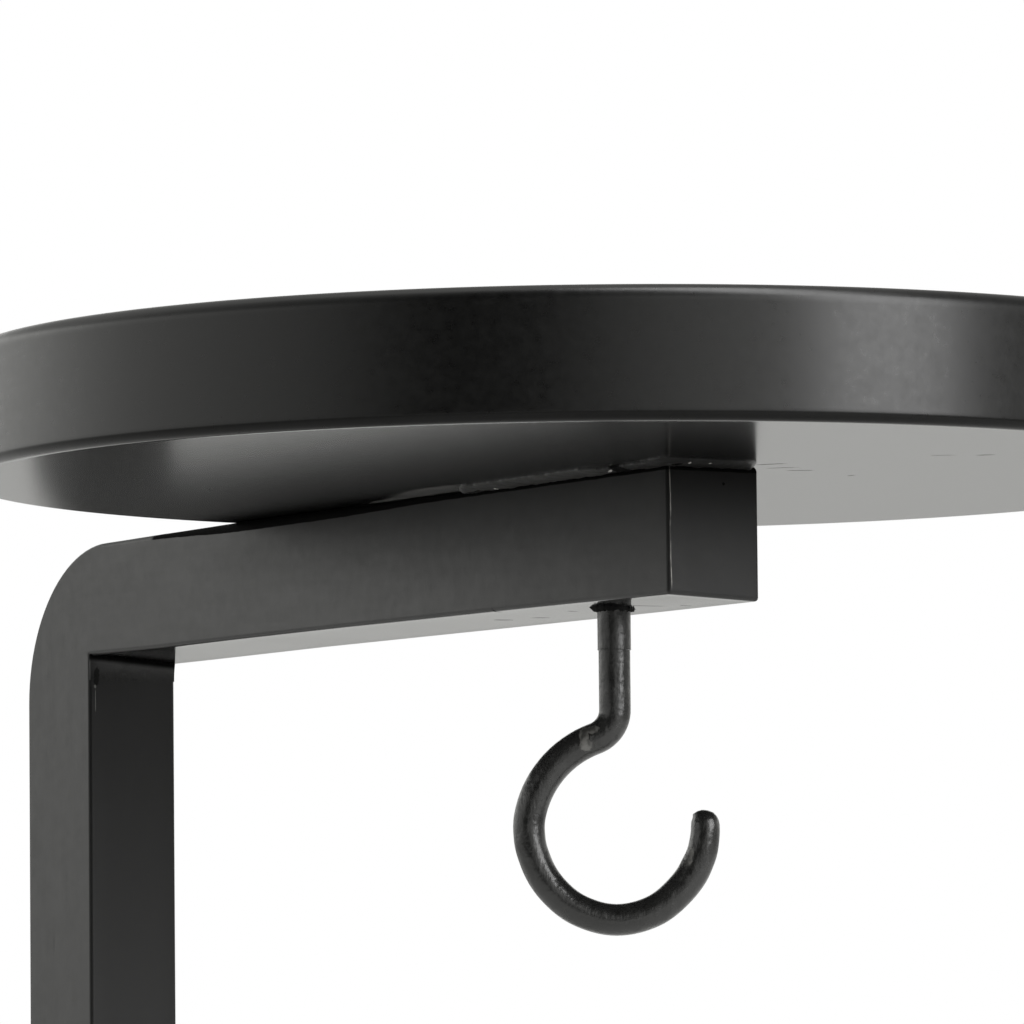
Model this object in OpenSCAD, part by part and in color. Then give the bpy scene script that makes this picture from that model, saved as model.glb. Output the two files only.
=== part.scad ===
// Wall plant rack: a round wooden shelf glued on the arm of an L-shaped
// wooden bracket, with a steel screw hook under the arm for a hanging pot.
// The bracket hangs on two wall screws by keyhole plates in its back.
//
// The wall is the plane y = 0 and the arm runs out along -Y. The origin is
// the seat of the upper wall screw, in the plane of the wall.

/* [Shelf] */
// Diameter of the round shelf
shelf_d = 250; // [200:5:300]
// Thickness of the shelf
shelf_t = 25; // [20:1:35]
// Distance from the wall to the middle of the shelf
shelf_out = 207; // [190:1:220]
// Rounding of the shelf's upper and lower rim
rim_r = 2; // [1:0.5:5]

/* [Bracket] */
// Width of both bars
bar_w = 21; // [20:1:32]
// Height of the arm
arm_h = 25; // [24:1:34]
// Depth of the leg
leg_d = 26; // [24:1:34]
// Distance from the wall to the arm's free end
arm_out = 246; // [240:1:290]
// Distance from the arm's top to the leg's foot
leg_h = 325; // [310:5:420]
// Radius of the bracket's outer corner
corner_r = 33; // [28:1:45]
// Rounding of the edges along the arm's top and the leg's back
outer_edge_r = 2; // [1:0.5:3]
// Rounding of the edges along the arm's underside, the leg's front and both ends
inner_edge_r = 1; // [0.5:0.5:2]

/* [Dowels] */
// Diameter of the two dowels across the mitre of the corner
corner_dowel_d = 6; // [5:0.5:7]
// Length of the corner dowels
corner_dowel_l = 24; // [18:1:26]
// Distance between the two corner dowels
corner_dowel_pitch = 9.5; // [8:0.5:11]
// Diameter of the three dowels between the arm and the shelf
shelf_dowel_d = 8; // [6:0.5:10]
// Length of the shelf dowels
shelf_dowel_l = 24; // [16:1:28]
// Distance from the wall to the rear shelf dowel
shelf_dowel_rear = 110; // [104:1:125]
// Distance between one shelf dowel and the next
shelf_dowel_pitch = 60; // [55:1:62]
// Gap around a glued dowel
glue_gap = 0.05; // [0.02:0.01:0.15]

/* [Screw hook] */
// Thickness of the hook's wire
wire_d = 6; // [4:0.5:7]
// Distance from the wall to the hook's shank
hook_out = 211; // [190:1:216]
// Radius of the hook's loop, to the middle of the wire
loop_r = 17; // [14:0.5:22]
// Distance from the arm's underside down to the middle of the loop
loop_drop = 43.5; // [42:0.5:60]
// Turn of the loop's plane about the shank, from straight across the arm
hook_turn = -33; // [-90:1:90]
// Radius of the bend between the shank and the loop, to the middle of the wire
bend_r = 6; // [5:0.5:8]
// How much wider the loop's first stretch is than the rest of it
loop_swell = 2.8; // [1:0.2:4]
// Angle at which the wire ends, above the loop's middle
tip_angle = 4; // [-20:1:20]
// Outside diameter of the hook's thread
thread_d = 6.5; // [5:0.25:8]
// Length of thread inside the arm
thread_in = 17; // [12:1:19]
// Length of painted-over thread that shows below the arm
thread_out = 8.7; // [2:0.1:12]
// Distance between one thread ridge and the next
thread_pitch = 2; // [1.5:0.25:3]

/* [Wall plates] */
// Distance from the arm's top down to the seat of the upper wall screw
hang_drop = 70; // [62:1:90]
// Distance from the leg's foot up to the seat of the lower wall screw
foot_rise = 45; // [35:1:90]
// Length of a keyhole plate
plate_l = 40; // [38:1:50]
// Width of a keyhole plate
plate_w = 16; // [14:0.5:18]
// Thickness of a keyhole plate
plate_t = 1.5; // [1:0.25:2.5]
// Diameter of the keyhole's round entry
entry_d = 10; // [8:0.5:11]
// Width of the keyhole's slot
slot_w = 5.5; // [4:0.25:6]
// Distance from the middle of the entry up to the seat
slot_rise = 10; // [8:0.5:11]
// Depth of the pocket behind the plate, for the wall screw's head
pocket_depth = 8; // [5:0.5:12]
// Thickness of the plate screws
screw_d = 3; // [2.5:0.25:3.5]
// Length of the plate screws
screw_l = 12; // [10:1:18]
// Distance between the two screws of a plate
screw_pitch = 31; // [30:0.5:32]

/* [Hidden] */
$fn = 96;

// Heights above the origin
arm_top = hang_drop;
arm_under = arm_top - arm_h;
leg_foot = arm_top - leg_h;
loop_z = arm_under - loop_drop;

// The mitre runs from the inner corner to where the outer faces would meet
mitre_angle = atan2(arm_h, leg_d);

// The middle of the glued mitre face, between the inner corner and the round
round_gap = corner_r * (sqrt(2) - 1);
mitre_len = norm([leg_d, arm_h]) - round_gap;
mitre_mid = mitre_len / 2;

// Where the dowels stand
corner_dowel_x = [-corner_dowel_pitch / 2, corner_dowel_pitch / 2];
shelf_dowel_y = [for (i = [0 : 2]) -(shelf_dowel_rear + i * shelf_dowel_pitch)];
dowel_end_gap = 0.5;
dowel_chamfer = 0.8;

// The hook's wire: straight shank, bend, wide first stretch, loop, round tip
swell_angle = 170;
swell_r = loop_r + loop_swell;
swell_x = -loop_swell * cos(swell_angle);
swell_z = loop_z - loop_swell * sin(swell_angle);
bend_turn = acos((bend_r + swell_x) / (swell_r + bend_r));
bend_z = swell_z + (swell_r + bend_r) * sin(bend_turn);
seam_rise = 0.02;
seam_w = 0.1;
thread_depth = 0.5;
thread_core = thread_d / 2 - thread_depth;
thread_point = 4;
thread_ease = 0.2;
ridge_foot = 0.35;
thread_gap = 0.05;
pilot_end_gap = 1;
mouth_d = thread_d + 2;
mouth_depth = 0.8;

// Keyhole plates
plate_corner_r = 3;
plate_fit = 0.1;
plate_mid = -slot_rise / 2;
pocket_fit = 0.75;
pocket_w = entry_d + 2 * pocket_fit;
head_d = 2 * screw_d;
head_fit = 0.1;
screw_gap = 0.05;
screw_point = 3;
screw_tip_d = 0.4;
cross_w = 0.7;
cross_l = 0.6 * head_d;
cross_depth = 0.5 * plate_t;
keyhole_z = [0, leg_foot + foot_rise];
screw_dz = [screw_pitch / 2, -screw_pitch / 2];

// Overrun of a cut past the face that it opens, and a length past the bracket
past = 1;
beyond = arm_out + leg_h;

// A rectangle about the origin whose corners have their own radii: two at
// the far side (+y) and two at the near side (-y)
module soft_rectangle(w, h, far_r, near_r) {
    x = w / 2;
    y = h / 2;
    translate([-x, near_r - y]) square([w, h - far_r - near_r]);
    translate([far_r - x, y - 2 * far_r]) square([w - 2 * far_r, 2 * far_r]);
    translate([near_r - x, -y]) square([w - 2 * near_r, 2 * near_r]);
    for (side = [-1, 1]) {
        translate([side * (x - far_r), y - far_r]) circle(r = far_r);
        translate([side * (x - near_r), near_r - y]) circle(r = near_r);
    }
}

// The space that the bracket's rounded outer corner leaves to the bars: all
// of it, but for the corner, where only a rounded wheel of corner_r is left
module corner_envelope() {
    translate([-bar_w, -beyond, arm_top - corner_r - beyond])
        cube([2 * bar_w, beyond + past, beyond]);
    translate([-bar_w, -beyond, arm_top - corner_r - beyond])
        cube([2 * bar_w, beyond - corner_r, 2 * beyond]);
    translate([0, -corner_r, arm_top - corner_r])
        rotate([0, 90, 0])
            rotate_extrude()
                intersection() {
                    rotate([0, 0, -90]) soft_rectangle(bar_w, 2 * corner_r, outer_edge_r, outer_edge_r);
                    translate([0, -bar_w]) square([corner_r + past, 2 * bar_w]);
                }
}

// One side of the mitre: the arm's, above it, or the leg's, below it
module mitre_side(above) {
    translate([0, 0, arm_top])
        rotate([mitre_angle, 0, 0])
            translate([-bar_w, -beyond, above ? 0 : -beyond])
                cube([2 * bar_w, 2 * beyond, beyond]);
}

// Puts its children at the middle of the mitre face, z along its normal
module at_mitre() {
    translate([0, -leg_d, arm_under])
        rotate([mitre_angle, 0, 0])
            translate([0, mitre_mid, 0])
                children();
}

module round_bar(d, l, chamfer) {
    rotate_extrude()
        polygon([
            [0, -l / 2], [d / 2 - chamfer, -l / 2], [d / 2, chamfer - l / 2],
            [d / 2, l / 2 - chamfer], [d / 2 - chamfer, l / 2], [0, l / 2]
        ]);
}

module dowel_hole(d, l) {
    cylinder(d = d + 2 * glue_gap, h = l + 2 * dowel_end_gap, center = true);
}

module corner_dowel_holes() {
    at_mitre()
        for (x = corner_dowel_x)
            translate([x, 0, 0]) dowel_hole(corner_dowel_d, corner_dowel_l);
}

module shelf_dowel_holes() {
    for (y = shelf_dowel_y)
        translate([0, y, arm_top]) dowel_hole(shelf_dowel_d, shelf_dowel_l);
}

module shelf_disc() {
    color([0.10, 0.10, 0.10])
        difference() {
            translate([0, -shelf_out, arm_top + shelf_t / 2])
                rotate_extrude()
                    intersection() {
                        soft_rectangle(shelf_d, shelf_t, rim_r, rim_r);
                        translate([0, -shelf_t]) square([shelf_d, 2 * shelf_t]);
                    }
            shelf_dowel_holes();
        }
}

// The pilot hole of the hook, with a small broken-out mouth
module hook_hole() {
    translate([0, -hook_out, arm_under]) {
        cylinder(d = thread_d + 2 * thread_gap, h = thread_in + pilot_end_gap);
        translate([0, 0, -past]) cylinder(d = mouth_d, h = mouth_depth + past);
    }
}

module bracket_arm() {
    color([0.12, 0.12, 0.12])
        difference() {
            intersection() {
                translate([0, 0, arm_top - arm_h / 2])
                    rotate([90, 0, 0])
                        linear_extrude(arm_out)
                            soft_rectangle(bar_w, arm_h, outer_edge_r, inner_edge_r);
                translate([0, past - arm_out / 2, arm_under - past])
                    linear_extrude(arm_h + 2 * past)
                        soft_rectangle(bar_w, arm_out + 2 * past, inner_edge_r, inner_edge_r);
                translate([-bar_w, past - arm_out / 2, arm_top - arm_h / 2])
                    rotate([90, 0, 90])
                        linear_extrude(2 * bar_w)
                            soft_rectangle(arm_out + 2 * past, arm_h, inner_edge_r, inner_edge_r);
                corner_envelope();
                mitre_side(true);
            }
            corner_dowel_holes();
            shelf_dowel_holes();
            hook_hole();
        }
}

// The shape that a plate fills, grown by a fit all round
module plate_outline(fit) {
    translate([0, plate_mid])
        soft_rectangle(plate_w + 2 * fit, plate_l + 2 * fit, plate_corner_r + fit, plate_corner_r + fit);
}

// A recess for one plate, the pocket behind it and the two pilot holes
module plate_seat() {
    rotate([90, 0, 0]) {
        translate([0, 0, -past])
            linear_extrude(plate_t + past)
                plate_outline(plate_fit);
        linear_extrude(plate_t + pocket_depth)
            stadium(pocket_w, slot_rise);
        for (dz = screw_dz)
            translate([0, plate_mid + dz, 0])
                cylinder(d = screw_d + 2 * screw_gap, h = screw_l + pilot_end_gap);
    }
}

// A slot with round ends whose upper end is centred on the origin
module stadium(w, rise) {
    circle(d = w);
    translate([0, -rise]) circle(d = w);
    translate([-w / 2, -rise]) square([w, rise]);
}

module bracket_leg() {
    color([0.12, 0.12, 0.12])
        difference() {
            intersection() {
                translate([0, -leg_d / 2, leg_foot])
                    linear_extrude(leg_h)
                        soft_rectangle(bar_w, leg_d, outer_edge_r, inner_edge_r);
                translate([0, past, leg_foot + leg_h / 2 + past])
                    rotate([90, 0, 0])
                        linear_extrude(leg_d + 2 * past)
                            soft_rectangle(bar_w, leg_h + 2 * past, inner_edge_r, inner_edge_r);
                translate([-bar_w, -leg_d / 2, leg_foot + leg_h / 2 + past])
                    rotate([90, 0, 90])
                        linear_extrude(2 * bar_w)
                            soft_rectangle(leg_d, leg_h + 2 * past, inner_edge_r, inner_edge_r);
                corner_envelope();
                mitre_side(false);
            }
            corner_dowel_holes();
            for (z = keyhole_z)
                translate([0, 0, z]) plate_seat();
        }
}

module corner_dowel(i) {
    color([0.72, 0.58, 0.40])
        at_mitre()
            translate([corner_dowel_x[i], 0, 0])
                round_bar(corner_dowel_d, corner_dowel_l, dowel_chamfer);
}

module shelf_dowel(i) {
    color([0.72, 0.58, 0.40])
        translate([0, shelf_dowel_y[i], arm_top])
            round_bar(shelf_dowel_d, shelf_dowel_l, dowel_chamfer);
}

// A stretch of bent wire about a middle at [x, z], from one angle to another
module wire_arc(x, z, r, from, to) {
    translate([x, 0, z])
        rotate([90, 0, 0])
            rotate([0, 0, from])
                rotate_extrude(angle = to - from)
                    translate([r, 0]) circle(d = wire_d);
}

// A hair-thin ring over the seam between two stretches, which makes them one
module wire_seam(x, z, r, at) {
    translate([x, 0, z])
        rotate([90, 0, 0])
            rotate([0, 0, at])
                translate([r, 0, 0])
                    rotate([90, 0, 0])
                        cylinder(d = wire_d + seam_rise, h = seam_w, center = true);
}

// The threaded end: ridges round a core, running out in a point
module thread() {
    ridges = floor((thread_in - thread_point) / thread_pitch);
    rotate_extrude()
        polygon(concat(
            [[0, -thread_out], [thread_d / 2 - thread_ease, -thread_out]],
            [[thread_d / 2, thread_ease - thread_out], [thread_d / 2, 0]],
            [for (i = [0 : ridges - 1]) each [
                [thread_core, (i + ridge_foot) * thread_pitch],
                [thread_core, (i + 1 - ridge_foot) * thread_pitch],
                [thread_d / 2, (i + 1) * thread_pitch]
            ]],
            [[thread_core, (ridges + ridge_foot) * thread_pitch]],
            [[thread_core, thread_in - thread_point], [0, thread_in]]
        ));
}

module screw_hook() {
    color([0.16, 0.16, 0.15])
        translate([0, -hook_out, 0])
            rotate([0, 0, hook_turn]) {
                translate([0, 0, arm_under]) thread();
                translate([0, 0, bend_z]) cylinder(d = wire_d, h = arm_under - bend_z);
                wire_seam(-bend_r, bend_z, bend_r, 0);
                wire_arc(-bend_r, bend_z, bend_r, -bend_turn, 0);
                wire_seam(-bend_r, bend_z, bend_r, -bend_turn);
                wire_arc(swell_x, swell_z, swell_r, 180 - bend_turn, swell_angle);
                wire_seam(0, loop_z, loop_r, swell_angle);
                wire_arc(0, loop_z, loop_r, swell_angle, 360 + tip_angle);
                translate([loop_r * cos(tip_angle), 0, loop_z + loop_r * sin(tip_angle)])
                    sphere(d = wire_d);
            }
}

module keyhole_plate(i) {
    color([0.62, 0.62, 0.60])
        translate([0, 0, keyhole_z[i]])
            rotate([90, 0, 0])
                difference() {
                    linear_extrude(plate_t) plate_outline(0);
                    translate([0, -slot_rise, -past]) cylinder(d = entry_d, h = plate_t + 2 * past);
                    translate([0, 0, -past]) cylinder(d = slot_w, h = plate_t + 2 * past);
                    translate([-slot_w / 2, -slot_rise, -past]) cube([slot_w, slot_rise, plate_t + 2 * past]);
                    for (dz = screw_dz)
                        translate([0, plate_mid + dz, 0])
                            screw_sink();
                }
}

// The countersunk hole in a plate
module screw_sink() {
    slope = (head_d - screw_d) / 2 / plate_t;
    reach = plate_t + past;
    translate([0, 0, -past])
        cylinder(d1 = head_d + 2 * head_fit + 2 * slope * past, d2 = screw_d + 2 * head_fit, h = reach);
    translate([0, 0, plate_t - past]) cylinder(d = screw_d + 2 * head_fit, h = 2 * past);
}

module plate_screw(i, j) {
    color([0.70, 0.69, 0.66])
        translate([0, 0, keyhole_z[i] + plate_mid + screw_dz[j]])
            rotate([90, 0, 0])
                difference() {
                    union() {
                        cylinder(d1 = head_d, d2 = screw_d, h = plate_t);
                        cylinder(d = screw_d, h = screw_l - screw_point);
                        translate([0, 0, screw_l - screw_point])
                            cylinder(d1 = screw_d, d2 = screw_tip_d, h = screw_point);
                    }
                    for (turn = [0, 90])
                        rotate([0, 0, turn])
                            translate([-cross_l / 2, -cross_w / 2, -past])
                                cube([cross_l, cross_w, cross_depth + past]);
                }
}

shelf_disc();
bracket_arm();
bracket_leg();
corner_dowel(0);  // corner_dowel_left
corner_dowel(1);  // corner_dowel_right
shelf_dowel(0);  // shelf_dowel_rear
shelf_dowel(1);  // shelf_dowel_middle
shelf_dowel(2);  // shelf_dowel_front
screw_hook();
keyhole_plate(0);  // keyhole_plate_upper
keyhole_plate(1);  // keyhole_plate_lower
plate_screw(0, 0);  // plate_screw_upper_top
plate_screw(0, 1);  // plate_screw_upper_bottom
plate_screw(1, 0);  // plate_screw_lower_top
plate_screw(1, 1);  // plate_screw_lower_bottom
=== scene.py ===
import math
import bpy
import bmesh
from mathutils import Matrix, Vector, noise


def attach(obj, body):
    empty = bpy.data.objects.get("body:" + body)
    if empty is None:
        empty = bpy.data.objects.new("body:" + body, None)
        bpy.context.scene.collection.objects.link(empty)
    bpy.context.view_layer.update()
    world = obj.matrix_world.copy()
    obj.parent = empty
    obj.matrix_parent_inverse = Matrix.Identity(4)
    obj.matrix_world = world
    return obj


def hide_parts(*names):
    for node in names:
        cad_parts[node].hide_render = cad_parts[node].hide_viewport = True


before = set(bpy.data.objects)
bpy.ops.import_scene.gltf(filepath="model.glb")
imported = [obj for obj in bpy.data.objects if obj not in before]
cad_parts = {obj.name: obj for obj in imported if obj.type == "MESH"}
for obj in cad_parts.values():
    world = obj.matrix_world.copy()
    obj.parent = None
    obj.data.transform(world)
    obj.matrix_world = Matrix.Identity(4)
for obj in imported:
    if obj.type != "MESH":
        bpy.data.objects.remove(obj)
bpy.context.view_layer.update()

# Camera
# The rack is seen from its front left and from a little below the arm, so that
# the shelf's underside shows at a glance. A long lens, with no shift.
view_from = Vector((-0.91286, -1.58703, -0.07074))
view_along = Vector((0.541182, 0.836992, 0.081035))
view_up = Vector((-0.036133, -0.073131, 0.996668))
view_right = view_along.cross(view_up)
view_turn = Matrix((view_right, view_up, -view_along)).transposed().to_4x4()
bpy.ops.object.camera_add()
camera = bpy.context.object
camera.name = "camera"
camera.matrix_world = Matrix.Translation(view_from) @ view_turn
camera.data.sensor_width = 36
camera.data.lens = 299.73
camera.data.clip_start = 0.05
camera.data.clip_end = 60
bpy.context.scene.camera = camera


# Shelf
# A disc of wood 250 mm across and 25 mm thick, sanded round at both rims and
# sprayed with satin black lacquer. It is glued and dowelled on the arm's top.
shelf_r = 0.125
shelf_y = -0.207
shelf_top = 0.095
shelf_under = 0.070
top_rim_r = 0.0028
under_rim_r = 0.002


def start_piece():
    bpy.ops.object.select_all(action="DESELECT")


def take_place():
    """The new primitive's place goes into its mesh, and its faces wait for shaping."""
    bpy.ops.object.transform_apply(location=True, rotation=True, scale=True)
    piece = bpy.context.object
    bpy.ops.object.mode_set(mode="EDIT")
    return piece


def pick(piece, kind, test):
    """In edit mode, selects just the VERT, EDGE or FACE parts that pass the test."""
    bpy.ops.mesh.select_mode(type=kind)
    bpy.ops.mesh.select_all(action="DESELECT")
    mesh = bmesh.from_edit_mesh(piece.data)
    parts = {"VERT": mesh.verts, "EDGE": mesh.edges, "FACE": mesh.faces}[kind]
    for part in [part for part in parts if test(part)]:
        part.select_set(True)
    mesh.select_flush_mode()
    bmesh.update_edit_mesh(piece.data)


def apply_modifier(piece, kind, **settings):
    bpy.ops.object.modifier_add(type=kind)
    modifier = piece.modifiers[-1]
    for name, value in settings.items():
        setattr(modifier, name, value)
    bpy.ops.object.modifier_apply(modifier=modifier.name)


def finish_piece(piece, name, material, nodes=(), smooth=32, flats=True):
    """Back to object mode, shaded smooth, with true flats if asked, named and fixed to the rack."""
    if bpy.context.object.mode == "EDIT":
        bpy.ops.object.mode_set(mode="OBJECT")
    bpy.ops.object.shade_smooth_by_angle(angle=math.radians(smooth))
    if flats:
        apply_modifier(piece, "WEIGHTED_NORMAL", keep_sharp=True)
    piece.name = name
    piece.data.name = name
    piece.data.materials.clear()
    piece.data.materials.append(material)
    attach(piece, "root")
    if nodes:
        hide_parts(*nodes)


def new_material(name):
    material = bpy.data.materials.new(name)
    material.use_nodes = True
    return material, material.node_tree, material.node_tree.nodes["Principled BSDF"]


def new_group(name, inputs, outputs):
    group = bpy.data.node_groups.new(name, "ShaderNodeTree")
    for label, kind, value in inputs:
        socket = group.interface.new_socket(name=label, in_out="INPUT", socket_type=kind)
        socket.default_value = value
    for label in outputs:
        group.interface.new_socket(name=label, in_out="OUTPUT", socket_type="NodeSocketFloat")
    came_in = group.nodes.new("NodeGroupInput").outputs
    goes_out = group.nodes.new("NodeGroupOutput").inputs
    return group, came_in, goes_out


def feed(tree, value, socket):
    """Links a node's output to the socket, or sets the socket to a plain value."""
    if isinstance(value, bpy.types.NodeSocket):
        tree.links.new(value, socket)
    elif value is not None:
        socket.default_value = value


def math_node(tree, operation, a, b=None, c=None, clamp=False):
    node = tree.nodes.new("ShaderNodeMath")
    node.operation = operation
    node.use_clamp = clamp
    for place, value in enumerate((a, b, c)):
        feed(tree, value, node.inputs[place])
    return node.outputs[0]


def vector_node(tree, operation, a, b=None):
    node = tree.nodes.new("ShaderNodeVectorMath")
    node.operation = operation
    feed(tree, a, node.inputs[0])
    feed(tree, b, node.inputs[1])
    return node.outputs["Value" if operation == "LENGTH" else "Vector"]


def xyz(tree, vector):
    node = tree.nodes.new("ShaderNodeSeparateXYZ")
    feed(tree, vector, node.inputs[0])
    return node.outputs


def band_node(tree, value, low, high, to_low=0.0, to_high=1.0):
    """Goes smoothly from to_low to to_high while the value goes from low to high."""
    node = tree.nodes.new("ShaderNodeMapRange")
    node.interpolation_type = "SMOOTHSTEP"
    feed(tree, value, node.inputs["Value"])
    for label, number in (("From Min", low), ("From Max", high), ("To Min", to_low), ("To Max", to_high)):
        node.inputs[label].default_value = number
    return node.outputs["Result"]


def noise_node(tree, place, scale, detail, **values):
    node = tree.nodes.new("ShaderNodeTexNoise")
    feed(tree, place, node.inputs["Vector"])
    node.inputs["Scale"].default_value = scale
    node.inputs["Detail"].default_value = detail
    for label, value in values.items():
        node.inputs[label].default_value = value
    return node.outputs["Fac"]


def cells_node(tree, place, scale):
    node = tree.nodes.new("ShaderNodeTexVoronoi")
    feed(tree, place, node.inputs["Vector"])
    node.inputs["Scale"].default_value = scale
    return node.outputs["Distance"]


def blend_node(tree, share, a, b, blend="MIX"):
    """Mixes two colours, b by its share."""
    node = tree.nodes.new("ShaderNodeMix")
    node.data_type = "RGBA"
    node.blend_type = blend
    for label, value in (("Factor", share), ("A", a), ("B", b)):
        feed(tree, value, node.inputs[label])
    return node.outputs["Result"]


def bump_node(tree, height, strength, distance):
    node = tree.nodes.new("ShaderNodeBump")
    for label, value in (("Height", height), ("Strength", strength), ("Distance", distance)):
        feed(tree, value, node.inputs[label])
    return node.outputs["Normal"]


def place_of(tree):
    """The point's place on the rack. Each material has one node for it."""
    node = tree.nodes.get("Texture Coordinate") or tree.nodes.new("ShaderNodeTexCoord")
    return node.outputs["Object"]


# What the sprayed lacquer does on any wood: a soft orange peel, the fine lines
# of the grain beneath it, and small pits where it sank into pores
lacquer_skin, skin, skin_gives = new_group(
    "lacquer skin",
    [
        ("Place", "NodeSocketVector", (0, 0, 0)),
        ("Grain", "NodeSocketVector", (1, 1, 1)),
        ("Peel", "NodeSocketFloat", 0.5),
        ("Lines", "NodeSocketFloat", 0.5),
        ("Pores", "NodeSocketFloat", 0.5),
    ],
    ["Height", "Shade", "Pits"],
)
tree = lacquer_skin
with_grain = vector_node(tree, "MULTIPLY", skin["Place"], skin["Grain"])
peel = noise_node(tree, skin["Place"], 420, 2, Roughness=0.55)
swell = noise_node(tree, skin["Place"], 75, 2)
grain_lines = noise_node(tree, with_grain, 1, 5, Roughness=0.62, Distortion=0.25)
pore_spots = band_node(tree, cells_node(tree, with_grain, 0.55), 0.05, 0.16, 1.0, 0.0)
pits = math_node(tree, "MULTIPLY", pore_spots, band_node(tree, swell, 0.56, 0.68))
pits = math_node(tree, "MULTIPLY", pits, skin["Pores"])
height = math_node(tree, "MULTIPLY", peel, skin["Peel"])
height = math_node(tree, "MULTIPLY_ADD", swell, 0.9, height)
height = math_node(tree, "MULTIPLY_ADD", grain_lines, skin["Lines"], height)
height = math_node(tree, "SUBTRACT", height, pits)
shade = math_node(tree, "MULTIPLY_ADD", math_node(tree, "ADD", grain_lines, peel), 0.5, -0.5)
for label, value in (("Height", height), ("Shade", shade), ("Pits", pits)):
    feed(tree, value, skin_gives[label])


def lacquer(name, black, rough, grain, peel, lines, pores, bump, relief, glossier=-0.12):
    """Satin black lacquer over wood whose grain runs as the stretch of the pattern says."""
    material, tree, shader = new_material(name)
    shader.inputs["IOR"].default_value = 1.5
    skin = tree.nodes.new("ShaderNodeGroup")
    skin.node_tree = lacquer_skin
    for place, value in enumerate((place_of(tree), grain, peel, lines, pores)):
        feed(tree, value, skin.inputs[place])
    deep = (black * 0.8, black * 0.8, black * 0.78, 1)
    pale = (black * 1.35, black * 1.35, black * 1.3, 1)
    shade = skin.outputs["Shade"]
    feed(tree, blend_node(tree, band_node(tree, shade, -0.2, 0.2), deep, pale), shader.inputs["Base Color"])
    # The undersides were never rubbed down, and stay glossier and smoother
    facing = xyz(tree, tree.nodes.new("ShaderNodeNewGeometry").outputs["True Normal"])
    downward = band_node(tree, facing["Z"], -0.99, -0.90, 1.0, 0.0)
    uneven = math_node(tree, "MULTIPLY_ADD", downward, -0.18, 0.22)
    dull = math_node(tree, "MULTIPLY_ADD", shade, uneven, rough)
    dull = math_node(tree, "MULTIPLY_ADD", skin.outputs["Pits"], 0.25, dull)
    dull = math_node(tree, "MULTIPLY_ADD", downward, glossier, dull, clamp=True)
    feed(tree, dull, shader.inputs["Roughness"])
    strength = math_node(tree, "MULTIPLY_ADD", downward, -0.94 * bump, bump)
    feed(tree, bump_node(tree, skin.outputs["Height"], strength, relief), shader.inputs["Normal"])
    return material


# A small oval mark at a set place, with a frayed edge, for nicks, cracks and chips
oval, mark, mark_gives = new_group(
    "oval mark",
    [
        ("Place", "NodeSocketVector", (0, 0, 0)),
        ("Middle", "NodeSocketVector", (0, 0, 0)),
        ("Turn", "NodeSocketFloat", 0.0),
        ("Half size", "NodeSocketVector", (1, 1, 1)),
    ],
    ["Mask"],
)
tree = oval
turn_back = tree.nodes.new("ShaderNodeVectorRotate")
turn_back.rotation_type = "Z_AXIS"
feed(tree, vector_node(tree, "SUBTRACT", mark["Place"], mark["Middle"]), turn_back.inputs["Vector"])
feed(tree, mark["Turn"], turn_back.inputs["Angle"])
in_halves = vector_node(tree, "DIVIDE", turn_back.outputs[0], mark["Half size"])
how_far = math_node(tree, "ADD", vector_node(tree, "LENGTH", in_halves), -0.4)
how_far = math_node(tree, "MULTIPLY_ADD", noise_node(tree, mark["Place"], 1800, 2), 0.8, how_far)
feed(tree, band_node(tree, how_far, 0.75, 1.1, 1.0, 0.0), mark_gives["Mask"])


def marks(tree, places):
    """One mask out of many marks: each is its middle, its turn and its half size, in mm."""
    whole = None
    for middle, turn, half in places:
        one = tree.nodes.new("ShaderNodeGroup")
        one.node_tree = oval
        feed(tree, place_of(tree), one.inputs["Place"])
        one.inputs["Middle"].default_value = Vector(middle) / 1000
        one.inputs["Turn"].default_value = -math.radians(turn)
        one.inputs["Half size"].default_value = Vector(half) / 1000
        mask = one.outputs["Mask"]
        whole = mask if whole is None else math_node(tree, "MAXIMUM", whole, mask)
    return whole


def turn_dull(tree, mask, shine_lost=None):
    """Where the mask is 1 the gloss is gone and the black is deep. A second mask only takes off shine.

    Metallic does it: a metal as black as this colour reflects next to nothing.
    """
    shader = tree.nodes["Principled BSDF"]
    gloss = shader.inputs["Roughness"].links[0].from_socket
    matt = math_node(tree, "MULTIPLY", mask, 0.9)
    feed(tree, math_node(tree, "MAXIMUM", gloss, matt), shader.inputs["Roughness"])
    if shine_lost is not None:
        mask = math_node(tree, "MAXIMUM", mask, shine_lost)
    feed(tree, math_node(tree, "MULTIPLY", mask, 0.98), shader.inputs["Metallic"])


def wear_through(tree, mask, colour):
    """Where the mask is 1 the black is gone and what is under it shows."""
    base = tree.nodes["Principled BSDF"].inputs["Base Color"]
    feed(tree, blend_node(tree, mask, base.links[0].from_socket, (*colour, 1)), base)
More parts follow.
